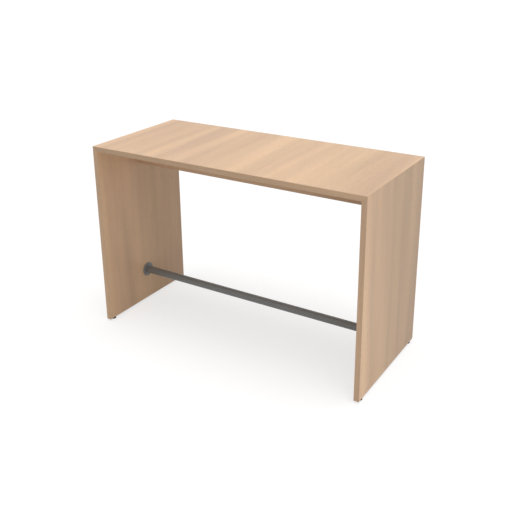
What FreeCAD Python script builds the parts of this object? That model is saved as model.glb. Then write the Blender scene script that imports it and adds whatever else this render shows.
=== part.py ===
import FreeCAD, Part
import math
import os

from FreeCAD import Vector

# Standing-height meeting table with two slab ends. The frame is +Z up, millimetres, with the origin on
# the floor below the middle of the top. X runs along the table, Y towards its back.

# Whole table
table_length = 1600.0
table_depth = 700.0
table_height = 1050.0
glide_height = 10.0  # floor to the panels' bottom edges, glides screwed home

# Boards and their edge bands
board = 28.0  # thickness of the top and of both panels
band = 2.0  # thickness of the edge bands
band_round = 1.5  # radius on a band's two outer edges
corner_round = 1.5  # radius along each mitred corner

# Rail under the middle of the top
rail_depth = 150.0  # from the top's underside down
rail_thickness = 28.0

# Fits
fit_gap = 0.05  # radial play of a glued or screwed piece in its hole
hole_end_gap = 1.0  # play past the end of a tongue, bolt or screw in its hole
running_gap = 0.3  # between pieces that move past each other

# Loose tongues of beech plywood, glued into grooves across each joint
tongue_thickness = 4.0
corner_tongue_width = 24.0  # across the mitre
corner_tongue_length = 80.0
corner_tongue_count = 4  # along each mitre
corner_tongue_edge = 50.0  # middle of the first tongue to the front or back of the table
corner_tongue_inset = 13.0  # along the mitre, from the corner's inside
rail_tongue_width = 24.0
rail_tongue_bite = 12.0  # how far it enters the panel or the top
rail_end_tongue_length = 40.0
rail_end_tongue_inset = 35.0  # rail's upper or lower edge to a tongue's middle, the cam being midway
rail_top_tongue_length = 200.0
rail_top_tongue_count = 3
rail_top_tongue_edge = 130.0  # panel's inner face to the middle of the first tongue along the rail

# Cam fittings: a steel bolt whose head is gripped by a cam housing let into the board
cam_dia = 15.0
cam_cover = 9.0  # board left over the end of a cam housing
cam_setback = 34.0  # joint face to the middle of the cam
cam_lip = 4.4  # thickness of the lips that grip the bolt's head
cam_slot = 5.0  # gap between the lips
cam_chamber = 8.0  # room inside for the bolt's head
cam_cross_width = 1.6
cam_cross_length = 7.0
cam_cross_depth = 2.5
bolt_dia = 7.0
bolt_neck_dia = 4.4
bolt_head_length = 4.0
bolt_hole_dia = 8.0
bolt_thread_dia = 5.0
bolt_thread_length = 11.0
corner_bolt_count = 2  # along each mitre, the rail being the middle fixing
corner_bolt_edge = 120.0  # first bolt to the front or back of the table
rail_top_cam_count = 2
rail_top_cam_edge = 290.0  # panel's inner face to the first cam along the rail

# Footrest
footrest_dia = 42.4
footrest_wall = 2.6
footrest_axis_height = 195.0  # floor to the middle of the tube
flange_dia = 84.0
flange_thickness = 5.0
flange_chamfer = 1.5
spigot_length = 30.0
spigot_wall = 4.0
spigot_gap = 0.2  # radial play of the tube on the spigot
flange_screw_count = 3
flange_screw_circle = 62.0
screw_dia = 4.5
screw_head_dia = 9.0
screw_length = 20.0
screw_socket_flats = 2.5
screw_socket_depth = 1.6
grub_dia = 6.0
grub_length = 6.0
grub_socket_flats = 3.0
grub_socket_depth = 3.0
grub_setback = 16.0  # flange's face to the grub screw

# Levelling glides
glide_edge = 40.0  # front or back of the table to a glide's axis
glide_travel = 12.0
least_engagement = 14.0  # thread left in the insert with the glide screwed out
stem_dia = 7.0  # on the thread's pitch line
hex_flats = 13.0
hex_height = 2.6
hex_gap = 1.1  # panel's bottom edge to the hexagon
insert_dia = 12.0
insert_length = 22.0
pad_dia = 28.0
pad_height = 6.0
pad_shoulder_dia = 22.0  # flat top of the pad
pad_side = 4.0  # upright wall of the pad below its shoulder
pad_floor = 1.8  # plastic below the stem's foot
foot_dia = 10.0  # disc on the stem's end, snapped into the pad
foot_height = 2.4
pad_lip_play = 0.3  # radial play of the stem in the pad's lip

half_length = table_length / 2
half_depth = table_depth / 2
top_underside = table_height - board
panel_inside = half_length - board
panel_middle = half_length - board / 2
core_half_depth = half_depth - band
rail_bottom = top_underside - rail_depth
cam_reach = cam_dia / 2

x_way = Vector(1, 0, 0)
y_way = Vector(0, 1, 0)
z_way = Vector(0, 0, 1)


# Simple solids

def block(low, high):
    size = high - low
    return Part.makeBox(size.x, size.y, size.z, low)


def rod(start, way, length, dia):
    return Part.makeCylinder(dia / 2, length, start, way)


def tapered_rod(start, way, length, start_dia, end_dia):
    return Part.makeCone(start_dia / 2, end_dia / 2, length, start, way)


def hex_bar(start, way, length, flats):
    corners = [Vector(flats / math.sqrt(3), 0, 0)]
    turn = FreeCAD.Rotation(z_way, 60)
    for side in range(6):
        corners.append(turn.multVec(corners[-1]))
    corners[-1] = corners[0]
    bar = Part.Face(Part.makePolygon(corners)).extrude(Vector(0, 0, length))
    bar.Placement = FreeCAD.Placement(start, FreeCAD.Rotation(z_way, way))
    return bar


def turned(outline, axis_point):
    # Spins an outline of (radius, height) points about the upright line through axis_point.
    points = [Vector(radius, 0, height) for radius, height in outline]
    face = Part.Face(Part.makePolygon(points + points[:1]))
    solid = face.revolve(Vector(0, 0, 0), z_way, 360)
    solid.translate(axis_point)
    return solid


def slab(outline, front, back):
    # Extrudes an outline of (x, z) points from front to back.
    points = [Vector(x, front, z) for x, z in outline]
    return Part.Face(Part.makePolygon(points + points[:1])).extrude(Vector(0, back - front, 0))


def rounded(solid, radius, picked):
    edges = [edge for edge in solid.Edges if picked(edge.BoundBox)]
    return solid.makeFillet(radius, edges)


def chamfered(solid, size, picked):
    edges = [edge for edge in solid.Edges if picked(edge.BoundBox)]
    return solid.makeChamfer(size, edges)


def bored(solid, cutters):
    return solid.cut(cutters).removeSplitter().Solids[0]


def joined(first, others):
    # One solid of several, without seams where their faces run on.
    return first.fuse(others).removeSplitter().Solids[0]


def mirrored(shape):
    return shape.mirror(Vector(0, 0, 0), x_way)


def spread(count, reach):
    # Evenly spaced places from -reach to reach.
    step = 2 * reach / (count - 1)
    return [-reach + step * index for index in range(count)]


def placed(shape, origin, along, face):
    # Sets a fitting drawn on its own axes in the table: its X along a joint, its Z out of a board's face.
    turn = FreeCAD.Rotation(along, face.cross(along), face)
    copy = shape.copy()
    copy.Placement = FreeCAD.Placement(origin, turn)
    return copy


# Boards and edge bands. The outside of the table is one rounded envelope that all of them share.

def envelope():
    low = Vector(-half_length, -half_depth, glide_height)
    high = Vector(half_length, half_depth, table_height)

    def mitred_corner(box):
        return box.ZMin > table_height - corner_round and box.YLength > box.XLength
    return rounded(block(low, high), corner_round, mitred_corner)


def top_outline():
    return [
        (-half_length, table_height),
        (half_length, table_height),
        (panel_inside, top_underside),
        (-panel_inside, top_underside),
    ]


def panel_outline(bottom):
    return [
        (-half_length, table_height),
        (-panel_inside, top_underside),
        (-panel_inside, bottom),
        (-half_length, bottom),
    ]


def front_band(outline):
    strip = slab(outline, -half_depth, -core_half_depth)
    long_enough = 2 * board

    def outer_edge(box):
        on_face = box.YMax < -half_depth + band / 4
        return on_face and max(box.XLength, box.ZLength) > long_enough
    return rounded(strip, band_round, outer_edge).common(outside).Solids[0]


def back_band(outline):
    return front_band(outline).mirror(Vector(0, 0, 0), y_way)


def bottom_band(holes):
    low = Vector(-half_length, -core_half_depth, glide_height)
    high = Vector(-panel_inside, core_half_depth, glide_height + band)

    def outer_edge(box):
        return box.ZMax < glide_height + band / 4 and box.YLength > 2 * board
    return bored(rounded(block(low, high), band_round, outer_edge), holes)


# Tongues and cam fittings. Each call gives the pieces and the holes they need, from the same values.

def tongue(middle, across, face, width, length):
    # A tongue and its groove: its width lies across the joint, its thickness along face.
    half = Vector(width / 2, length / 2, tongue_thickness / 2)
    play = Vector(hole_end_gap, hole_end_gap, fit_gap)
    piece = placed(block(-half, half), middle, across, face)
    groove = placed(block(-half - play, half + play), middle, across, face)
    return piece, groove


def cross_recess(width, length, depth):
    bar = block(Vector(-length / 2, -width / 2, -depth), Vector(length / 2, width / 2, 1))
    return [bar, bar.copy().rotate(Vector(0, 0, 0), z_way, 90)]


def cam_housing(thickness):
    # Drawn with the bolt's axis on X and the joint face at X = 0, let into the board's +Z face.
    middle = Vector(cam_setback, 0, 0)
    face = middle + z_way * (thickness / 2)
    height = thickness - cam_cover
    body = rod(face, -z_way, height, cam_dia - 2 * fit_gap)
    inner = cam_reach - cam_lip
    chamber_half = cam_chamber / 2
    slot_half = cam_slot / 2
    chamber = block(
        middle - Vector(inner, chamber_half, chamber_half),
        middle + Vector(chamber_half, chamber_half, chamber_half),
    )
    slot = block(
        middle - Vector(cam_dia, slot_half, slot_half),
        middle + Vector(0, slot_half, slot_half),
    )
    recess = cross_recess(cam_cross_width, cam_cross_length, cam_cross_depth)
    for bar in recess:
        bar.translate(face)
    return bored(body, [chamber, slot] + recess)


def cam_hole(thickness):
    face = Vector(cam_setback, 0, thickness / 2)
    return rod(face, -z_way, thickness - cam_cover, cam_dia)


def bolt_arm():
    # From the joint face to the gripped head: shaft, neck and head.
    neck_start = cam_setback - cam_reach - fit_gap
    head_start = cam_setback - (cam_reach - cam_lip) + fit_gap
    shaft = rod(Vector(0, 0, 0), x_way, neck_start, bolt_dia)
    neck = rod(Vector(neck_start, 0, 0), x_way, head_start - neck_start, bolt_neck_dia)
    head = rod(Vector(head_start, 0, 0), x_way, bolt_head_length, bolt_dia)
    return joined(shaft, [neck, head])


def arm_hole(start):
    return rod(Vector(start, 0, 0), x_way, cam_setback - start, bolt_hole_dia)


def screwed_bolt():
    thread = rod(Vector(-bolt_thread_length, 0, 0), x_way, bolt_thread_length, bolt_thread_dia)
    return joined(thread, [bolt_arm()])


def thread_hole():
    full = bolt_thread_length + hole_end_gap
    return rod(Vector(-full, 0, 0), x_way, full, bolt_thread_dia + 2 * fit_gap)


def corner_joint():
    # Left mitre: pieces and holes by name.
    made = {"tongues": [], "bolts": [], "cams": [], "top": [], "panel": []}
    into_top = x_way
    into_panel = -z_way
    across_mitre = Vector(1, 0, 1).normalize()
    down_mitre = Vector(1, 0, -1).normalize()
    inset = corner_tongue_inset / math.sqrt(2)
    for y in spread(corner_tongue_count, half_depth - corner_tongue_edge):
        middle = Vector(-panel_inside - inset, y, top_underside + inset)
        piece, groove = tongue(middle, across_mitre, down_mitre, corner_tongue_width, corner_tongue_length)
        made["tongues"].append(piece)
        made["top"].append(groove)
        made["panel"].append(groove)
    for y in spread(corner_bolt_count, half_depth - corner_bolt_edge):
        elbow = Vector(-panel_middle, y, table_height - board / 2)
        top_arm = placed(bolt_arm(), elbow, into_top, -z_way)
        panel_arm = placed(bolt_arm(), elbow, into_panel, x_way)
        made["bolts"].append(joined(top_arm, [panel_arm]))
        made["cams"].append(placed(cam_housing(board), elbow, into_top, -z_way))
        made["cams"].append(placed(cam_housing(board), elbow, into_panel, x_way))
        past_mitre = -bolt_hole_dia
        made["top"].append(placed(cam_hole(board), elbow, into_top, -z_way))
        made["top"].append(placed(arm_hole(past_mitre), elbow, into_top, -z_way))
        made["panel"].append(placed(cam_hole(board), elbow, into_panel, x_way))
        made["panel"].append(placed(arm_hole(past_mitre), elbow, into_panel, x_way))
    return made


def rail_joint(cam_places, tongue_places, tongue_length, into_rail):
    # Fittings along one edge of the rail; all cams open in its back face.
    made = {"tongues": [], "bolts": [], "cams": [], "rail": [], "other": []}
    for origin in tongue_places:
        middle = origin + into_rail * (rail_tongue_width / 2 - rail_tongue_bite)
        piece, groove = tongue(middle, into_rail, y_way, rail_tongue_width, tongue_length)
        made["tongues"].append(piece)
        made["rail"].append(groove)
        made["other"].append(groove)
    for origin in cam_places:
        made["bolts"].append(placed(screwed_bolt(), origin, into_rail, y_way))
        made["cams"].append(placed(cam_housing(rail_thickness), origin, into_rail, y_way))
        made["rail"].append(placed(cam_hole(rail_thickness), origin, into_rail, y_way))
        made["rail"].append(placed(arm_hole(0), origin, into_rail, y_way))
        made["other"].append(placed(thread_hole(), origin, into_rail, y_way))
    return made


def rail_end_joint():
    tongue_heights = (rail_bottom + rail_end_tongue_inset, top_underside - rail_end_tongue_inset)
    tongues = [Vector(-panel_inside, 0, height) for height in tongue_heights]
    cam = Vector(-panel_inside, 0, (rail_bottom + top_underside) / 2)
    return rail_joint([cam], tongues, rail_end_tongue_length, x_way)


def rail_top_joint():
    cam_rows = spread(rail_top_cam_count, panel_inside - rail_top_cam_edge)
    tongue_rows = spread(rail_top_tongue_count, panel_inside - rail_top_tongue_edge)
    cams = [Vector(x, 0, top_underside) for x in cam_rows]
    tongues = [Vector(x, 0, top_underside) for x in tongue_rows]
    return rail_joint(cams, tongues, rail_top_tongue_length, -z_way)


# Footrest: a tube held on spigots by two screwed flanges

flange_face = panel_inside - flange_thickness
tube_inside = footrest_dia - 2 * footrest_wall
spigot_dia = tube_inside - 2 * spigot_gap
footrest_end = Vector(-panel_inside, 0, footrest_axis_height)


def screw_places():
    places = []
    for index in range(flange_screw_count):
        angle = math.radians(90 + 360 * index / flange_screw_count)
        offset = Vector(0, math.cos(angle), math.sin(angle)) * (flange_screw_circle / 2)
        places.append(Vector(-flange_face, 0, footrest_axis_height) + offset)
    return places


def screw_head(place, play):
    head = screw_head_dia + 2 * play
    shank = screw_dia + 2 * play
    return tapered_rod(place, -x_way, (head - shank) / 2, head, shank)


def flange_screw(place):
    # Countersunk screw driven towards -X from the flange's face.
    shank = rod(place, -x_way, screw_length, screw_dia)
    socket = hex_bar(place, -x_way, screw_socket_depth, screw_socket_flats)
    return bored(joined(shank, [screw_head(place, 0)]), [socket])


def screw_hole(place):
    # Through the flange and on into the panel.
    return rod(place, -x_way, screw_length + hole_end_gap, screw_dia + 2 * fit_gap)


def grub_start():
    return Vector(-flange_face + grub_setback, 0, footrest_axis_height - footrest_dia / 2)


def footrest_flange():
    disc = rod(footrest_end, x_way, flange_thickness, flange_dia)
    disc = chamfered(disc, flange_chamfer, lambda box: box.XMin > -panel_inside + flange_chamfer)
    spigot = rod(footrest_end, x_way, flange_thickness + spigot_length, spigot_dia)
    hollow = rod(footrest_end, x_way, flange_thickness + spigot_length, spigot_dia - 2 * spigot_wall)
    cutters = [hollow, rod(grub_start(), z_way, footrest_dia / 2, grub_dia + 2 * fit_gap)]
    for place in screw_places():
        cutters += [screw_head(place, fit_gap), screw_hole(place)]
    return bored(joined(disc, [spigot]), cutters)


def grub_screw():
    body = rod(grub_start(), z_way, grub_length, grub_dia)
    socket = hex_bar(grub_start(), z_way, grub_socket_depth, grub_socket_flats)
    return bored(body, [socket])


def footrest_tube():
    start = Vector(-flange_face, 0, footrest_axis_height)
    length = 2 * flange_face
    hole = rod(grub_start(), z_way, footrest_dia / 2, grub_dia + 2 * fit_gap)
    inside = rod(start, x_way, length, tube_inside)
    return bored(rod(start, x_way, length, footrest_dia), [inside, hole, mirrored(hole)])


# Levelling glides: a threaded insert in the panel, a hexagon stem and a pad snapped on its foot

insert_bore = stem_dia + 2 * running_gap
hex_top = glide_height - hex_gap
stem_top = hex_top + least_engagement + glide_travel
stem_hole_top = stem_top + hole_end_gap


def glide_axis(back):
    return Vector(-panel_middle, (half_depth - glide_edge) * back, 0)


def insert_holes(back):
    start = glide_axis(back) + z_way * glide_height
    return [
        rod(start, z_way, insert_length, insert_dia + 2 * fit_gap),
        rod(start, z_way, stem_hole_top - glide_height, insert_bore),
    ]


def glide_insert(back):
    start = glide_axis(back) + z_way * glide_height
    bore = rod(start, z_way, insert_length, insert_bore)
    return bored(rod(start, z_way, insert_length, insert_dia), [bore])


def glide_stem(back):
    axis = glide_axis(back)
    foot = rod(axis + z_way * pad_floor, z_way, foot_height, foot_dia)
    shank = rod(axis + z_way * pad_floor, z_way, stem_top - pad_floor, stem_dia)
    hexagon = hex_bar(axis + z_way * (hex_top - hex_height), z_way, hex_height, hex_flats)
    return joined(foot, [shank, hexagon])


def glide_pad(back):
    radius = pad_dia / 2
    socket = foot_dia / 2 + running_gap
    socket_floor = pad_floor - running_gap
    socket_top = pad_floor + foot_height + running_gap
    lip = stem_dia / 2 + pad_lip_play
    outline = [
        (0, 0),
        (radius, 0),
        (radius, pad_side),
        (pad_shoulder_dia / 2, pad_height),
        (lip, pad_height),
        (lip, socket_top),
        (socket, socket_top),
        (socket, socket_floor),
        (0, socket_floor),
    ]
    return turned(outline, glide_axis(back))


# The whole table, node by node

outside = envelope()
corner = corner_joint()
rail_end = rail_end_joint()
rail_top = rail_top_joint()
right_corner_top = [mirrored(hole) for hole in corner["top"]]
glide_sides = {"front": -1, "back": 1}
panel_bottom_holes = [hole for back in glide_sides.values() for hole in insert_holes(back)]

nodes = {}

top_core = slab(top_outline(), -core_half_depth, core_half_depth).common(outside)
nodes["top_board"] = bored(top_core, corner["top"] + right_corner_top + rail_top["other"])
nodes["top_front_band"] = front_band(top_outline())
nodes["top_back_band"] = back_band(top_outline())

panel_core = slab(panel_outline(glide_height + band), -core_half_depth, core_half_depth).common(outside)
screw_holes = [screw_hole(place) for place in screw_places()]
panel = bored(panel_core, corner["panel"] + rail_end["other"] + screw_holes + panel_bottom_holes)
left_pieces = {
    "panel": panel,
    "panel_front_band": front_band(panel_outline(glide_height)),
    "panel_back_band": back_band(panel_outline(glide_height)),
    "panel_bottom_band": bottom_band(panel_bottom_holes),
    "corner_tongues": Part.makeCompound(corner["tongues"]),
    "corner_bolts": Part.makeCompound(corner["bolts"]),
    "corner_cams": Part.makeCompound(corner["cams"]),
    "footrest_flange": footrest_flange(),
}
for name, piece in left_pieces.items():
    nodes["left_" + name] = piece
    nodes["right_" + name] = mirrored(piece)

rail_core = block(
    Vector(-panel_inside, -rail_thickness / 2, rail_bottom + band),
    Vector(panel_inside, rail_thickness / 2, top_underside),
)
rail_holes = rail_end["rail"] + [mirrored(hole) for hole in rail_end["rail"]] + rail_top["rail"]
nodes["centre_rail"] = bored(rail_core, rail_holes)
rail_band = block(
    Vector(-panel_inside, -rail_thickness / 2, rail_bottom),
    Vector(panel_inside, rail_thickness / 2, rail_bottom + band),
)
nodes["centre_rail_band"] = rounded(
    rail_band, band_round, lambda box: box.ZMax < rail_bottom + band / 4 and box.XLength > board
)
for kind in ("tongues", "bolts", "cams"):
    both_ends = rail_end[kind] + [mirrored(piece) for piece in rail_end[kind]]
    nodes["rail_end_" + kind] = Part.makeCompound(both_ends)
    nodes["rail_top_" + kind] = Part.makeCompound(rail_top[kind])

left_screws = [flange_screw(place) for place in screw_places()]
right_screws = [mirrored(screw) for screw in left_screws]
nodes["footrest_flange_screws"] = Part.makeCompound(left_screws + right_screws)
nodes["footrest_tube"] = footrest_tube()
nodes["footrest_grub_screws"] = Part.makeCompound([grub_screw(), mirrored(grub_screw())])

left_inserts = [glide_insert(back) for back in glide_sides.values()]
right_inserts = [mirrored(insert) for insert in left_inserts]
nodes["glide_inserts"] = Part.makeCompound(left_inserts + right_inserts)
for place, back in glide_sides.items():
    for piece, shape in (("stem", glide_stem(back)), ("pad", glide_pad(back))):
        nodes[place + "_left_glide_" + piece] = shape
        nodes[place + "_right_glide_" + piece] = mirrored(shape)

os.makedirs("parts", exist_ok=True)
for name, shape in nodes.items():
    shape.exportStep("parts/" + name + ".step")
print(len(nodes), "nodes,", sum(len(shape.Solids) for shape in nodes.values()), "solids")
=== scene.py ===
import math

import bmesh
import bpy
from mathutils import Matrix, Vector


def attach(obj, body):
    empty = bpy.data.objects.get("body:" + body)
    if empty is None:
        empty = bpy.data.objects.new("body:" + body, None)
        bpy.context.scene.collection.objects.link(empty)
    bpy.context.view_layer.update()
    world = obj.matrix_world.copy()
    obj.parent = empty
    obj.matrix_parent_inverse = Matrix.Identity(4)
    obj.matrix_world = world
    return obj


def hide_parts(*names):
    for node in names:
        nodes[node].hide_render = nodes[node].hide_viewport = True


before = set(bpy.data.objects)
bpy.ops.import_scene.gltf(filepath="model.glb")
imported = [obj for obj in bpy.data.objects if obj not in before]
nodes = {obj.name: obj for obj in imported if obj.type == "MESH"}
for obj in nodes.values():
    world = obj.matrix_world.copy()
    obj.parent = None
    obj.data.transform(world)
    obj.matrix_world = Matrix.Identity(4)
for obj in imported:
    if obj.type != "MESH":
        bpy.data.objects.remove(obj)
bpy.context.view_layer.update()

# Lengths are in metres.
tableLength, tableHeight, boardThickness = 1.6, 1.05, 0.028
print("frame loaded:", len(nodes), "CAD nodes")


# Shader nodes from Python expressions

class Value:
    # Wraps a socket, so that sums with it add Math nodes.
    def __init__(self, shader, socket):
        self.shader = shader
        self.socket = socket

    def maths(self, operation, first, second):
        return self.shader.node("ShaderNodeMath", {"operation": operation}, {0: first, 1: second})

    def __add__(self, other):
        return self.maths("ADD", self, other)

    def __radd__(self, other):
        return self.maths("ADD", other, self)

    def __sub__(self, other):
        return self.maths("SUBTRACT", self, other)

    def __rsub__(self, other):
        return self.maths("SUBTRACT", other, self)

    def __mul__(self, other):
        return self.maths("MULTIPLY", self, other)

    def __rmul__(self, other):
        return self.maths("MULTIPLY", other, self)

    def __abs__(self):
        return self.maths("ABSOLUTE", self, 0.0)

    def pingPong(self, reach):
        return self.maths("PINGPONG", self, reach)


class Shader:
    # Adds nodes to the tree of a material or of the world.
    def __init__(self, owner):
        owner.use_nodes = True
        self.owner = owner
        self.tree = owner.node_tree
        self.tree.nodes.clear()

    def node(self, kind, settings=None, sockets=None, output=0):
        made = self.tree.nodes.new(kind)
        for name, value in (settings or {}).items():
            setattr(made, name, value)
        for name, value in (sockets or {}).items():
            if isinstance(value, Value):
                self.tree.links.new(value.socket, made.inputs[name])
            else:
                made.inputs[name].default_value = value
        return Value(self, made.outputs[output]) if len(made.outputs) else made

    def place(self):
        return self.node("ShaderNodeTexCoord", output="Object")

    def axes(self):
        place = self.place()
        return {axis: self.node("ShaderNodeSeparateXYZ", {}, {0: place}, axis) for axis in "XYZ"}

    def noise(self, vector, detail, roughness=0.5, scale=1.0):
        sockets = {"Vector": vector, "Scale": scale, "Detail": detail, "Roughness": roughness}
        return self.node("ShaderNodeTexNoise", {}, sockets)

    def point(self, x, y, z):
        return self.node("ShaderNodeCombineXYZ", {}, {0: x, 1: y, 2: z})

    def step(self, value, low, high):
        # 0 up to low, 1 from high on, and a soft rise between.
        sockets = {"Value": value, "From Min": low, "From Max": high}
        return self.node("ShaderNodeMapRange", {"interpolation_type": "SMOOTHSTEP"}, sockets)

    def mixed(self, share, first, second, blend="MIX"):
        # A Mix node's colours are its inputs 6 and 7 and its output 2.
        settings = {"data_type": "RGBA", "blend_type": blend}
        return self.node("ShaderNodeMix", settings, {0: share, 6: first, 7: second}, 2)

    def bump(self, height, distance):
        return self.node("ShaderNodeBump", {}, {"Height": height, "Distance": distance})

    def coated(self, sockets):
        surface = self.node("ShaderNodeBsdfPrincipled", {}, sockets)
        self.node("ShaderNodeOutputMaterial", {}, {"Surface": surface})
        return self.owner


# Camera and studio

camera = {
    "place": (2.022, -3.191, 2.136),
    "heading": 32.4,         # degrees, turned left from straight towards the back
    "downTilt": 19.95,
    "roll": -0.65,
    "focalPixels": 754.4,    # focal length in pixels of a picture of this width
    "pictureWidth": 507,
    "sensor": 36.0,          # millimetres
    "shiftUp": -0.10,
}

studio = {
    "skyLevel": 0.50,        # what the sky gives the object
    "skyShown": 1.0,
    "floorBounce": 0.45,     # the floor as the object sees it
    "floorShown": 0.38,      # the floor in view: this share reflected, so that it keeps the shadow
    "floorLift": 0.66,
    "floorSize": 60.0,
    "keyWay": (0.13, -0.02, 0.99),
    "keyAway": 5.0,          # a sun gives the same light from any distance
    "keySpread": 38.0,       # degrees across, for soft shadows
    "keyLevel": 0.51,        # share of a white surface's brightness that this lamp gives it
    "fillPlace": (2.4, -1.7, 0.75),
    "fillAim": (0.0, 0.0, 0.5),
    "fillSize": 1.6,
    "fillLevel": 0.15,       # at the distance below
    "fillDistance": 2.6,
}


def grey(level):
    return (level, level, level, 1.0)


def setCamera(plan):
    data = bpy.data.cameras.new("camera")
    data.sensor_width = plan["sensor"]
    data.lens = plan["focalPixels"] / plan["pictureWidth"] * plan["sensor"]
    data.shift_y = plan["shiftUp"]
    eye = bpy.data.objects.new("camera", data)
    heading = Matrix.Rotation(math.radians(plan["heading"]), 4, "Z")
    tilt = Matrix.Rotation(math.radians(90 - plan["downTilt"]), 4, "X")
    roll = Matrix.Rotation(math.radians(plan["roll"]), 4, "Z")
    eye.matrix_world = Matrix.Translation(plan["place"]) @ heading @ tilt @ roll
    bpy.context.scene.collection.objects.link(eye)
    bpy.context.scene.camera = eye


def addLamp(name, kind, place, way):
    # The lamp stands at place and shines against way.
    data = bpy.data.lights.new(name, kind)
    lamp = bpy.data.objects.new(name, data)
    lamp.location = place
    lamp.rotation_euler = way.to_track_quat("Z", "Y").to_euler()
    bpy.context.scene.collection.objects.link(lamp)
    return data


def addLamps(plan):
    # White shows as 1 under a sun of strength pi, or 1 m from a disk of pi squared watts.
    keyWay = Vector(plan["keyWay"]).normalized()
    key = addLamp("keyLamp", "SUN", keyWay * plan["keyAway"], keyWay)
    key.angle = math.radians(plan["keySpread"])
    key.energy = plan["keyLevel"] * math.pi
    fillPlace = Vector(plan["fillPlace"])
    fill = addLamp("fillLamp", "AREA", fillPlace, fillPlace - Vector(plan["fillAim"]))
    fill.shape = "DISK"
    fill.size = plan["fillSize"]
    fill.energy = plan["fillLevel"] * math.pi ** 2 * plan["fillDistance"] ** 2


def seenShare(shader):
    # 1 for what the camera sees, straight or in gloss or glass.
    rays = ("Is Camera Ray", "Is Glossy Ray", "Is Transmission Ray")
    straight, gloss, glass = [shader.node("ShaderNodeLightPath", output=ray) for ray in rays]
    return straight + gloss + glass


def setSky(plan):
    world = bpy.data.worlds.new("sky")
    bpy.context.scene.world = world
    shader = Shader(world)
    lighting, shown = [
        shader.node("ShaderNodeBackground", {}, {"Color": grey(1.0), "Strength": plan[level]})
        for level in ("skyLevel", "skyShown")
    ]
    both = shader.node("ShaderNodeMixShader", {}, {0: seenShare(shader), 1: lighting, 2: shown})
    shader.node("ShaderNodeOutputWorld", {}, {"Surface": both})


def addFloor(plan):
    bpy.ops.mesh.primitive_plane_add(size=plan["floorSize"], location=(0, 0, 0))
    floor = bpy.context.active_object
    floor.name = "floor"
    shader = Shader(bpy.data.materials.new("paleFloor"))
    bounce = shader.node("ShaderNodeBsdfDiffuse", {}, {"Color": grey(plan["floorBounce"])})
    shadowed = shader.node("ShaderNodeBsdfDiffuse", {}, {"Color": grey(plan["floorShown"])})
    lift = shader.node("ShaderNodeEmission", {}, {"Color": grey(1.0), "Strength": plan["floorLift"]})
    shown = shader.node("ShaderNodeAddShader", {}, {0: shadowed, 1: lift})
    both = shader.node("ShaderNodeMixShader", {}, {0: seenShare(shader), 1: bounce, 2: shown})
    shader.node("ShaderNodeOutputMaterial", {}, {"Surface": both})
    floor.data.materials.append(shader.owner)


setCamera(camera)
addLamps(studio)
setSky(studio)
addFloor(studio)
bpy.context.scene.view_settings.view_transform = "Standard"
print("camera and studio set")


# Wood decor, printed with straight grain on the boards and on their edge bands

# Each layer of grain: how often it changes per metre across the grain and how often along it, how fine its
# detail goes, and how much it adds to the tone.
decor = {
    "deep": (0.493, 0.328, 0.212, 1.0),
    "pale": (0.863, 0.583, 0.366, 1.0),
    "middle": 0.58,          # where the usual tone lies between deep and pale
    "rosyTint": (1.0, 0.990, 0.991, 1.0),
    "strawTint": (1.0, 0.999, 0.969, 1.0),
    "poreColour": (0.400, 0.250, 0.155, 1.0),
    "bands": {"perMetre": 8.5, "run": 0.55, "detail": 1.0, "depth": 1.20},
    "rings": {"perMetre": 3.4, "run": 0.42, "detail": 1.0, "depth": 0.05},
    "ringCount": 38.0,       # how often the rings' noise is folded into growth lines
    "streaks": {"perMetre": 34.0, "run": 1.9, "detail": 3.0, "depth": 0.19},
    "fibres": {"perMetre": 380.0, "run": 5.0, "detail": 2.0, "depth": 0.21},
    "hues": {"perMetre": 5.1, "run": 0.55, "detail": 1.0},
    "hueTone": 0.44,         # how much the tone takes part in the hue
    "hueLevels": (0.10, 0.42),
    "pores": {"perMetre": 850.0, "run": 40.0, "detail": 0.0},
    "poreLevels": (0.16, 0.22),  # of noise about 0: no pore at the first, a full pore at the second
    "poreStrength": 0.30,
    "seamHalf": 0.00022,     # half the width of the glue line along each mitre
    "seamEnd": 0.0004,       # over which the line fades below the top
    "seamStrength": 0.55,
    "slant": 0.37,           # shifts the noise along the grain from strand to strand, to show no rows
    "roughness": 0.47,
    "fibreGloss": 0.12,      # what the fibres add to the roughness
    "poreGloss": 0.12,
    "fibreHeight": 0.5,      # beside a pore's depth of 1
    "relief": 0.00005,
}

# Each print: its grain's axis, the axis across it, the part of the roll it was cut from, and painted shade:
# a factor on its colour in the middle of the table, which darkens the right panel and the edge bands as the
# light on them does, and what that factor gains per metre across, which darkens the side panels and the
# right front band where the light falls off.
prints = {
    "topDecor": {"along": "Y", "across": "X", "cut": 1.7, "paintedShadeSlope": 0.0, "shade": 1.0},
    "leftDecor": {"along": "Z", "across": "Y", "cut": 10.4, "paintedShadeSlope": -0.44, "shade": 1.0},
    "rightDecor": {"along": "Z", "across": "Y", "cut": 12.1, "paintedShadeSlope": -0.52, "shade": 0.93},
    "railDecor": {"along": "X", "across": "Z", "cut": 15.0, "paintedShadeSlope": 0.0, "shade": 0.97},
    "bandAlongX": {"along": "X", "across": "Z", "cut": 21.0, "paintedShadeSlope": 0.0, "shade": 0.835},
    "bandAlongY": {"along": "Y", "across": "X", "cut": 25.0, "paintedShadeSlope": 0.0, "shade": 0.93},
    "bandAlongZ": {"along": "Z", "across": "X", "cut": 29.0, "paintedShadeSlope": -0.065, "shade": 0.94},
}


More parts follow.
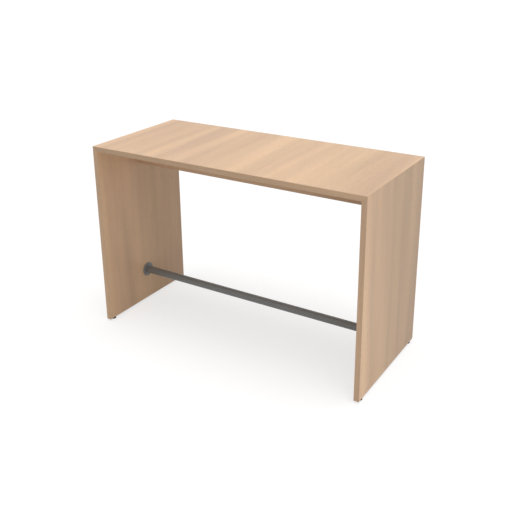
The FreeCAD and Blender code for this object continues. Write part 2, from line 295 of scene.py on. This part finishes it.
def woodDecor(name, plan, cut):
    shader = Shader(bpy.data.materials.new(name))
    axes = shader.axes()
    run = axes[cut["along"]]
    side = axes[cut["across"]]
    depth = [axes[axis] for axis in "XYZ" if axis not in (cut["along"], cut["across"])][0]

    def grain(layer):
        # Noise about 0, drawn out along the grain.
        across = (side + cut["cut"]) * layer["perMetre"]
        place = shader.point(across, run * layer["run"] + across * plan["slant"], depth * layer["perMetre"])
        return shader.noise(place, layer["detail"]) - 0.5

    bands = grain(plan["bands"])
    rings = (grain(plan["rings"]) * plan["ringCount"]).pingPong(1.0) - 0.5
    streaks = grain(plan["streaks"])
    fibres = grain(plan["fibres"])
    pores = shader.step(grain(plan["pores"]), *plan["poreLevels"])
    tone = bands * plan["bands"]["depth"] + rings * plan["rings"]["depth"]
    tone = tone + streaks * plan["streaks"]["depth"] + fibres * plan["fibres"]["depth"] + plan["middle"]
    hue = shader.step(grain(plan["hues"]) + tone * plan["hueTone"], *plan["hueLevels"])
    tint = shader.mixed(hue, plan["rosyTint"], plan["strawTint"])
    colour = shader.mixed(1.0, shader.mixed(tone, plan["deep"], plan["pale"]), tint, "MULTIPLY")
    colour = shader.mixed(pores * plan["poreStrength"], colour, plan["poreColour"])
    # The mitred ends of the top and of the panels meet where the distances to both faces are the same.
    toMitre = abs(abs(axes["X"]) - axes["Z"] + (tableHeight - tableLength / 2))
    underTop = tableHeight - boardThickness
    inCorner = shader.step(axes["Z"], underTop - plan["seamEnd"], underTop)
    seam = inCorner * (1 - shader.step(toMitre, plan["seamHalf"], plan["seamHalf"] * 2))
    colour = shader.mixed(seam * plan["seamStrength"], colour, plan["poreColour"])
    # Painted shade: the colour is multiplied by the print's shade factor, and is darkened further per metre
    # across where the light falls off.
    colour = shader.mixed(1.0, colour, side * cut["paintedShadeSlope"] + cut["shade"], "MULTIPLY")
    return shader.coated({
        "Base Color": colour,
        "Roughness": plan["roughness"] + fibres * plan["fibreGloss"] + pores * plan["poreGloss"],
        "Normal": shader.bump(fibres * plan["fibreHeight"] - pores, plan["relief"]),
    })


# Coats, metals, plastic and plywood

powderCoat = {
    "colour": (0.200, 0.200, 0.196, 1.0),
    "paler": (0.255, 0.255, 0.250, 1.0),
    "peelPerMetre": 650.0,
    "cloudPerMetre": 14.0,
    "roughness": 0.40,
    "relief": 0.00003,
}

glidePlastic = {
    "colour": (0.015, 0.015, 0.016, 1.0),
    "paler": (0.030, 0.030, 0.031, 1.0),
    "peelPerMetre": 2200.0,
    "cloudPerMetre": 90.0,
    "roughness": 0.50,
    "relief": 0.00002,
}

coatFinish = {
    "peelGloss": 0.16,       # how far the peel moves the roughness
    "cloudGloss": 0.08,
}

metals = {
    "blackSteel": {
        "colour": (0.045, 0.045, 0.050, 1.0), "paler": (0.090, 0.090, 0.096, 1.0), "roughness": 0.36
    },
    "zincSteel": {
        "colour": (0.500, 0.510, 0.525, 1.0), "paler": (0.700, 0.710, 0.720, 1.0), "roughness": 0.30
    },
    "zincCasting": {
        "colour": (0.400, 0.400, 0.410, 1.0), "paler": (0.580, 0.580, 0.590, 1.0), "roughness": 0.44
    },
}

metalFinish = {
    "cloudPerMetre": 160.0,
    "cloudBreakUp": 0.6,
    "cloudGloss": 0.18,
    "grainPerMetre": 2600.0,
    "grainGloss": 0.10,
    "relief": 0.00001,
}

tonguePly = {
    "pale": (0.660, 0.455, 0.300, 1.0),
    "deep": (0.450, 0.290, 0.180, 1.0),
    "fibresPerMetre": 700.0,
    "fibreRun": 40.0,
    "roughness": 0.62,
    "fibreGloss": 0.2,
    "relief": 0.00005,
}


def coatMaterial(name, plan, finish):
    # Sprayed or moulded: a faint peel and soft clouds.
    shader = Shader(bpy.data.materials.new(name))
    place = shader.place()
    peel = shader.noise(place, detail=2.0, scale=plan["peelPerMetre"])
    cloud = shader.noise(place, detail=3.0, scale=plan["cloudPerMetre"])
    roughness = plan["roughness"] + (peel - 0.5) * finish["peelGloss"]
    return shader.coated({
        "Base Color": shader.mixed(cloud, plan["colour"], plan["paler"]),
        "Roughness": roughness + (cloud - 0.5) * finish["cloudGloss"],
        "Normal": shader.bump(peel, plan["relief"]),
    })


def metalMaterial(name, plan, finish):
    shader = Shader(bpy.data.materials.new(name))
    place = shader.place()
    cloud = shader.noise(place, detail=3.0, roughness=finish["cloudBreakUp"], scale=finish["cloudPerMetre"])
    grain = shader.noise(place, detail=2.0, scale=finish["grainPerMetre"])
    roughness = plan["roughness"] + (cloud - 0.5) * finish["cloudGloss"]
    return shader.coated({
        "Base Color": shader.mixed(cloud, plan["colour"], plan["paler"]),
        "Metallic": 1.0,
        "Roughness": roughness + (grain - 0.5) * finish["grainGloss"],
        "Normal": shader.bump(grain, finish["relief"]),
    })


def plyMaterial(name, plan):
    shader = Shader(bpy.data.materials.new(name))
    axes = shader.axes()
    perMetre = plan["fibresPerMetre"]
    place = shader.point(axes["X"] * perMetre, axes["Y"] * plan["fibreRun"], axes["Z"] * perMetre)
    fibres = shader.noise(place, detail=2.0)
    return shader.coated({
        "Base Color": shader.mixed(fibres, plan["deep"], plan["pale"]),
        "Roughness": plan["roughness"] + (fibres - 0.5) * plan["fibreGloss"],
        "Normal": shader.bump(fibres, plan["relief"]),
    })


materials = {
    "coat": coatMaterial("footrestCoat", powderCoat, coatFinish),
    "plastic": coatMaterial("glidePlastic", glidePlastic, coatFinish),
    "ply": plyMaterial("tonguePly", tonguePly),
}
for name, cut in prints.items():
    materials[name] = woodDecor(name, decor, cut)
for name, plan in metals.items():
    materials[name] = metalMaterial(name, plan, metalFinish)
print("materials made:", len(materials))


# Tools for the pieces

tools = {
    "levelError": 2e-6,      # how far off a point may be and still count as on a ring
    "radiusError": 4e-6,
    "mergeDistance": 1e-6,
    "facing": 0.9,           # how much of a face's normal lies along the way that it looks
    "smoothAngle": 35,       # degrees between two faces, past which their edge stays sharp
}


def clearSelection():
    if bpy.context.mode != "OBJECT":
        bpy.ops.object.mode_set(mode="OBJECT")
    bpy.ops.object.select_all(action="DESELECT")


def selectOnly(piece):
    clearSelection()
    piece.select_set(True)
    bpy.context.view_layer.objects.active = piece


def settle(piece):
    # Puts the object's place and turn into its mesh.
    selectOnly(piece)
    bpy.ops.object.transform_apply(location=True, rotation=True, scale=True)
    return piece


def addRod(radius, start, end, sides, axis="Z", across=(0.0, 0.0)):
    # A plain rod from start to end along X or Z, to be shaped further.
    middle = (start + end) / 2
    place = (middle, *across) if axis == "X" else (*across, middle)
    turn = (0, math.pi / 2, 0) if axis == "X" else (0, 0, 0)
    clearSelection()
    bpy.ops.mesh.primitive_cylinder_add(
        vertices=sides, radius=radius, depth=end - start, location=place, rotation=turn
    )
    return settle(bpy.context.active_object)


def addCone(startRadius, endRadius, start, end, sides, across):
    # A cone along X.
    clearSelection()
    bpy.ops.mesh.primitive_cone_add(
        vertices=sides, radius1=startRadius, radius2=endRadius, depth=end - start,
        location=((start + end) / 2, *across), rotation=(0, math.pi / 2, 0)
    )
    return settle(bpy.context.active_object)


def openMesh(piece, kind):
    # Edit mode with nothing selected, to pick faces or edges.
    bpy.ops.object.mode_set(mode="EDIT")
    bpy.ops.mesh.select_mode(type=kind)
    bpy.ops.mesh.select_all(action="DESELECT")
    return bmesh.from_edit_mesh(piece.data)


def pickFaces(piece, *ways):
    # Selects the faces that look one of those ways.
    mesh = openMesh(piece, "FACE")
    for face in mesh.faces:
        face.select_set(any(face.normal.dot(Vector(way)) > tools["facing"] for way in ways))
    bmesh.update_edit_mesh(piece.data)


def pullOut(shift, scale=(1, 1, 1), centre=(0, 0, 0)):
    # Extrudes the selected faces by shift, then scales them about centre.
    bpy.ops.mesh.extrude_region_move(TRANSFORM_OT_translate={"value": shift})
    bpy.ops.transform.resize(value=scale, center_override=centre)


def roundRing(piece, radius, level, width, segments, axis="Z", across=(0.0, 0.0)):
    # Bevels the ring of edges of that radius about an X or Z axis, at that level along it.
    def onRing(point):
        along = point.x if axis == "X" else point.z
        offset = (point.y, point.z) if axis == "X" else (point.x, point.y)
        away = math.hypot(offset[0] - across[0], offset[1] - across[1])
        return abs(along - level) < tools["levelError"] and abs(away - radius) < tools["radiusError"]

    mesh = openMesh(piece, "EDGE")
    for edge in mesh.edges:
        edge.select_set(all(onRing(vertex.co) for vertex in edge.verts))
    bmesh.update_edit_mesh(piece.data)
    bpy.ops.mesh.bevel(offset=width, segments=segments, affect="EDGES")


def combine(piece, tool, operation):
    # DIFFERENCE cuts tool out of piece, UNION adds it, INTERSECT keeps what they share.
    bpy.ops.object.mode_set(mode="OBJECT")
    change = piece.modifiers.new("change", "BOOLEAN")
    change.operation = operation
    change.solver = "EXACT"
    change.object = tool
    bpy.context.view_layer.objects.active = piece
    bpy.ops.object.modifier_apply(modifier="change")
    bpy.data.objects.remove(tool)


def copyOf(piece, shift=(0, 0, 0), scale=(1, 1, 1)):
    # A copy with a mesh of its own, scaled about the origin and moved.
    selectOnly(piece)
    bpy.ops.object.duplicate()
    twin = bpy.context.active_object
    twin.location = shift
    twin.scale = scale
    return settle(twin)


def joinAll(pieces):
    clearSelection()
    for piece in pieces:
        piece.select_set(True)
    bpy.context.view_layer.objects.active = pieces[0]
    bpy.ops.object.join()
    return pieces[0]


def dress(piece, material):
    piece.data.materials.clear()
    piece.data.materials.append(material)


def finishPiece(piece, name, material, body, slotName, *replaced):
    selectOnly(piece)
    bpy.ops.object.mode_set(mode="EDIT")
    bpy.ops.mesh.select_all(action="SELECT")
    bpy.ops.mesh.remove_doubles(threshold=tools["mergeDistance"])
    bpy.ops.mesh.normals_make_consistent(inside=False)
    bpy.ops.object.mode_set(mode="OBJECT")
    bpy.ops.object.shade_smooth_by_angle(angle=math.radians(tools["smoothAngle"]))
    piece.name = name
    piece.data.name = name
    dress(piece, materials[material])
    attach(piece, body)
    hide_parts(*replaced)


# Footrest tube, locked on the flanges by a grub screw from below at each end

footrest = {
    "height": 0.195,
    "radius": 0.0212,
    "wall": 0.0026,
    "halfLength": 0.767,
    "sides": 96,
    "rimRound": 0.0004,
    "grubPlace": 0.751,      # from the middle of the table
    "grubHoleRadius": 0.00305,
    "ringAway": 2,           # hole radii from a hole's middle to the rings of edges beside it
    "drillSides": 32,
    "drillBelow": 0.004,     # how far a drill reaches from the tube's lowest line
    "drillAbove": 0.008,
}


def makeFootrest(plan):
    reach = plan["halfLength"]
    axis = (0.0, plan["height"])
    tube = addRod(plan["radius"], -reach, reach, plan["sides"], "X", axis)
    pickFaces(tube, (-1, 0, 0), (1, 0, 0))
    bpy.ops.mesh.inset(thickness=plan["wall"])
    bpy.ops.mesh.bridge_edge_loops()
    for radius in (plan["radius"], plan["radius"] - plan["wall"]):
        for end in (-reach, reach):
            roundRing(tube, radius, end, plan["rimRound"], 2, "X", axis)
    # Rings of edges keep the cuts for the holes short.
    for side in (-1, 1):
        for beside in (-plan["ringAway"], plan["ringAway"]):
            place = side * plan["grubPlace"] + beside * plan["grubHoleRadius"]
            bpy.ops.mesh.select_all(action="SELECT")
            bpy.ops.mesh.bisect(plane_co=(place, 0, 0), plane_no=(1, 0, 0))
    low = plan["height"] - plan["radius"]
    start, end = low - plan["drillBelow"], low + plan["drillAbove"]
    for side in (-1, 1):
        place = (side * plan["grubPlace"], 0.0)
        drill = addRod(plan["grubHoleRadius"], start, end, plan["drillSides"], "Z", place)
        combine(tube, drill, "DIFFERENCE")
    finishPiece(tube, "footrestTube", "coat", "table", "footrest_coat", "footrest_tube")


makeFootrest(footrest)
print("footrest tube made")


# Flanges of the footrest, each with a spigot in the tube and three countersunk holes

flange = {
    "back": -0.772,          # the left panel's inner face
    "thickness": 0.005,
    "radius": 0.042,
    "edgeRound": 0.0014,
    "spigotRadius": 0.0184,
    "spigotWall": 0.004,
    "spigotLength": 0.030,
    "spigotRound": 0.0006,
    "sides": 96,
    "holeCircle": 0.031,     # radius
    "holeRadius": 0.0023,
    "holeSides": 48,
    "drillPast": 0.002,      # how far a drill stands out of the plate
    "sinkRadius": 0.0046,
    "holeTurns": (0, 120, 240),
}


def turnedAboutFootrest(piece, degrees):
    selectOnly(piece)
    bpy.ops.transform.rotate(
        value=math.radians(degrees), orient_axis="X", center_override=(0, 0, footrest["height"])
    )
    return settle(piece)


def makeFlange(plan):
    axis = (0.0, footrest["height"])
    face = plan["back"] + plan["thickness"]
    plate = addRod(plan["radius"], plan["back"], face, plan["sides"], "X", axis)
    pickFaces(plate, (1, 0, 0))
    bpy.ops.mesh.inset(thickness=plan["radius"] - plan["spigotRadius"])
    pullOut((plan["spigotLength"], 0, 0))
    bpy.ops.mesh.inset(thickness=plan["spigotWall"])
    pullOut((-plan["spigotLength"], 0, 0))
    roundRing(plate, plan["radius"], face, plan["edgeRound"], 5, "X", axis)
    roundRing(plate, plan["spigotRadius"], face + plan["spigotLength"], plan["spigotRound"], 2, "X", axis)
    above = (0.0, footrest["height"] + plan["holeCircle"])
    slope = plan["sinkRadius"] - plan["holeRadius"]
    wide = plan["sinkRadius"] + slope
    start, end = plan["back"] - plan["drillPast"], face + plan["drillPast"]
    for turn in plan["holeTurns"]:
        sink = addCone(plan["holeRadius"], wide, face - slope, face + slope, plan["holeSides"], above)
        combine(plate, turnedAboutFootrest(sink, turn), "DIFFERENCE")
        drill = addRod(plan["holeRadius"], start, end, plan["holeSides"], "X", above)
        combine(plate, turnedAboutFootrest(drill, turn), "DIFFERENCE")
    twin = copyOf(plate, scale=(-1, 1, 1))
    finishPiece(plate, "leftFlange", "coat", "table", "footrest_coat", "left_footrest_flange")
    finishPiece(twin, "rightFlange", "coat", "table", "footrest_coat", "right_footrest_flange")


makeFlange(flange)
print("flanges made")


# Countersunk screws of the flanges and grub screws of the tube, with hexagon sockets

flangeScrew = {
    "headRadius": 0.00445,
    "land": 0.0002,          # upright rim of the head
    "rimRound": 0.0001,
    "shankRadius": 0.0021,
    "length": 0.020,
    "tip": 0.001,
    "tipNarrow": 0.6,        # the tip's end beside the shank
    "sides": 48,
    "socketRadius": 0.00144,  # to the hexagon's corners
    "socketDepth": 0.0016,
    "socketPast": 0.001,     # how far the socket's cutter stands out of the head
}

grubScrew = {
    "radius": 0.0029,
    "length": 0.006,
    "rimRound": 0.0004,
    "sides": 32,
    "socketRadius": 0.00173,
    "socketDepth": 0.0030,
    "socketPast": 0.001,
}


def makeFlangeScrews(plan):
    face = flange["back"] + flange["thickness"]
    axis = (0.0, footrest["height"] + flange["holeCircle"])
    taper = plan["headRadius"] - plan["shankRadius"]
    narrow = plan["shankRadius"] / plan["headRadius"]
    tipNarrow = plan["tipNarrow"]
    screw = addRod(plan["headRadius"], face - plan["land"], face, plan["sides"], "X", axis)
    pickFaces(screw, (-1, 0, 0))
    pullOut((-taper, 0, 0), (1, narrow, narrow), (0, *axis))
    pullOut((plan["land"] + taper + plan["tip"] - plan["length"], 0, 0))
    pullOut((-plan["tip"], 0, 0), (1, tipNarrow, tipNarrow), (0, *axis))
    roundRing(screw, plan["headRadius"], face, plan["rimRound"], 1, "X", axis)
    start, end = face - plan["socketDepth"], face + plan["socketPast"]
    combine(screw, addRod(plan["socketRadius"], start, end, 6, "X", axis), "DIFFERENCE")
    left = [turnedAboutFootrest(copyOf(screw), turn) for turn in flange["holeTurns"]]
    right = [copyOf(piece, scale=(-1, 1, 1)) for piece in left]
    bpy.data.objects.remove(screw)
    screws = joinAll(left + right)
    finishPiece(screws, "flangeScrews", "blackSteel", "table", "black_steel", "footrest_flange_screws")


def makeGrubScrews(plan):
    low = footrest["height"] - footrest["radius"]
    place = (-footrest["grubPlace"], 0.0)
    screw = addRod(plan["radius"], low, low + plan["length"], plan["sides"], "Z", place)
    for level in (low, low + plan["length"]):
        roundRing(screw, plan["radius"], level, plan["rimRound"], 2, "Z", place)
    start, end = low - plan["socketPast"], low + plan["socketDepth"]
    combine(screw, addRod(plan["socketRadius"], start, end, 6, "Z", place), "DIFFERENCE")
    both = joinAll([screw, copyOf(screw, scale=(-1, 1, 1))])
    finishPiece(both, "grubScrews", "blackSteel", "table", "black_steel", "footrest_grub_screws")


makeFlangeScrews(flangeScrew)
makeGrubScrews(grubScrew)
print("screws made")


# Levelling glides: a threaded stem with a hexagon, and a moulded pad snapped on its foot

glide = {
    "across": 0.786,         # from the middle of the table to a glide's axis, along X
    "depth": 0.310,          # and along Y
}

stem = {
    "footRadius": 0.0050,
    "footLevels": (0.0018, 0.0042),
    "footRound": 0.0005,
    "footSides": 48,
    "neckRadius": 0.0034,
    "hexRadius": 0.00750,    # to its corners
    "hexLevels": (0.0063, 0.0089),
    "hexChamfer": 0.0005,
    "chamferSides": 72,
    "coreRadius": 0.0032,
    "crestRadius": 0.00372,
    "pitch": 0.00125,
    "threadReach": 0.0006,   # from the middle of its section to each corner
    "threadTurns": 20,
    "stepsPerTurn": 32,
    "top": 0.0349,
    "tip": 0.0008,
    "tipNarrow": 0.75,       # the tip's end beside the core
}

pad = {
    "radius": 0.0140,
    "side": 0.0040,
    "height": 0.0060,
    "shoulderRadius": 0.0110,
    "lipRadius": 0.0038,
    "lipDepth": 0.0015,
    "socketRadius": 0.0053,
    "socketDepth": 0.0030,
    "sides": 72,
    "footRound": 0.0005,
    "sideRound": 0.0010,
    "topRound": 0.0007,
    "lipRound": 0.0003,
}


def makeThread(plan):
    # A square standing on its corner is swept up as the thread, with its inner half in the core.
    reach = plan["threadReach"]
    start = plan["hexLevels"][1] - reach
    clearSelection()
    bpy.ops.mesh.primitive_plane_add(
        size=reach * math.sqrt(2), location=(plan["crestRadius"] - reach, 0, start),
        rotation=(math.pi / 2, math.pi / 4, 0)
    )
    thread = settle(bpy.context.active_object)
    sweep = thread.modifiers.new("sweep", "SCREW")
    sweep.screw_offset = plan["pitch"]
    sweep.iterations = plan["threadTurns"]
    sweep.steps = plan["stepsPerTurn"]
    sweep.render_steps = plan["stepsPerTurn"]
    bpy.ops.object.modifier_apply(modifier="sweep")
    # The sweep leaves both ends open.
    bpy.ops.object.mode_set(mode="EDIT")
    bpy.ops.mesh.select_all(action="SELECT")
    bpy.ops.mesh.fill_holes(sides=4)
    bpy.ops.object.mode_set(mode="OBJECT")
    return thread


def makeStem(plan):
    low, high = plan["footLevels"]
    hexLow, hexHigh = plan["hexLevels"]
    hexMiddle = (hexLow + hexHigh) / 2
    cutRadius = plan["hexRadius"] - plan["hexChamfer"] / 2
    hexagon = addRod(plan["hexRadius"], hexLow, hexHigh, 6)
    chamfer = addRod(cutRadius, hexLow, hexHigh, plan["chamferSides"])
    for level in plan["hexLevels"]:
        roundRing(chamfer, cutRadius, level, plan["hexChamfer"], 1)
    combine(hexagon, chamfer, "INTERSECT")
    shank = addRod(plan["footRadius"], low, high, plan["footSides"])
    pickFaces(shank, (0, 0, 1))
    bpy.ops.mesh.inset(thickness=plan["footRadius"] - plan["neckRadius"])
    pullOut((0, 0, hexMiddle - high))
    narrow = plan["coreRadius"] / plan["neckRadius"]
    pullOut((0, 0, 0), (narrow, narrow, 1), (0, 0, hexMiddle))
    pullOut((0, 0, plan["top"] - plan["tip"] - hexMiddle))
    pullOut((0, 0, plan["tip"]), (plan["tipNarrow"], plan["tipNarrow"], 1), (0, 0, plan["top"]))
    for level in plan["footLevels"]:
        roundRing(shank, plan["footRadius"], level, plan["footRound"], 2)
    combine(shank, hexagon, "UNION")
    return joinAll([shank, makeThread(plan)])


def makePad(plan):
    mould = addRod(plan["radius"], 0.0, plan["side"], plan["sides"])
    pickFaces(mould, (0, 0, 1))
    narrow = plan["shoulderRadius"] / plan["radius"]
    wide = plan["socketRadius"] / plan["lipRadius"]
    pullOut((0, 0, plan["height"] - plan["side"]), (narrow, narrow, 1), (0, 0, plan["height"]))
    bpy.ops.mesh.inset(thickness=plan["shoulderRadius"] - plan["lipRadius"])
    pullOut((0, 0, -plan["lipDepth"]))
    pullOut((0, 0, 0), (wide, wide, 1), (0, 0, plan["height"] - plan["lipDepth"]))
    pullOut((0, 0, -plan["socketDepth"]))
    roundRing(mould, plan["radius"], 0.0, plan["footRound"], 3)
    roundRing(mould, plan["radius"], plan["side"], plan["sideRound"], 4)
    roundRing(mould, plan["shoulderRadius"], plan["height"], plan["topRound"], 4)
    roundRing(mould, plan["lipRadius"], plan["height"], plan["lipRound"], 2)
    bpy.ops.object.mode_set(mode="OBJECT")
    return mould


def placeGlides(plan):
    oneStem = makeStem(stem)
    onePad = makePad(pad)
    for endName, side in (("left", -1), ("right", 1)):
        for faceName, way in (("front", -1), ("back", 1)):
            corner = faceName + "_" + endName
            shift = (side * plan["across"], way * plan["depth"], 0)
            finishPiece(
                copyOf(oneStem, shift), faceName + endName.title() + "Stem", "blackSteel",
                corner + "_stem", "black_steel", corner + "_glide_stem"
            )
            finishPiece(
                copyOf(onePad, shift), faceName + endName.title() + "Pad", "plastic",
                corner + "_pad", "glide_plastic", corner + "_glide_pad"
            )
    bpy.data.objects.remove(oneStem)
    bpy.data.objects.remove(onePad)


placeGlides(glide)
print("glides made")


# Finishes of the CAD nodes that stay in view

dressed = {
    "topDecor": ["top_board"],
    "leftDecor": ["left_panel"],
    "rightDecor": ["right_panel"],
    "railDecor": ["centre_rail"],
    "bandAlongX": ["top_front_band", "top_back_band", "centre_rail_band"],
    "bandAlongY": ["left_panel_bottom_band", "right_panel_bottom_band"],
    "bandAlongZ": [
        "left_panel_front_band", "left_panel_back_band", "right_panel_front_band", "right_panel_back_band"
    ],
    "zincSteel": [
        "left_corner_bolts", "right_corner_bolts", "rail_end_bolts", "rail_top_bolts", "glide_inserts"
    ],
    "zincCasting": ["left_corner_cams", "right_corner_cams", "rail_end_cams", "rail_top_cams"],
    "ply": ["left_corner_tongues", "right_corner_tongues", "rail_end_tongues", "rail_top_tongues"],
}
for materialName, nodeNames in dressed.items():
    for nodeName in nodeNames:
        dress(nodes[nodeName], materials[materialName])
print("CAD nodes dressed:", sum(len(names) for names in dressed.values()))
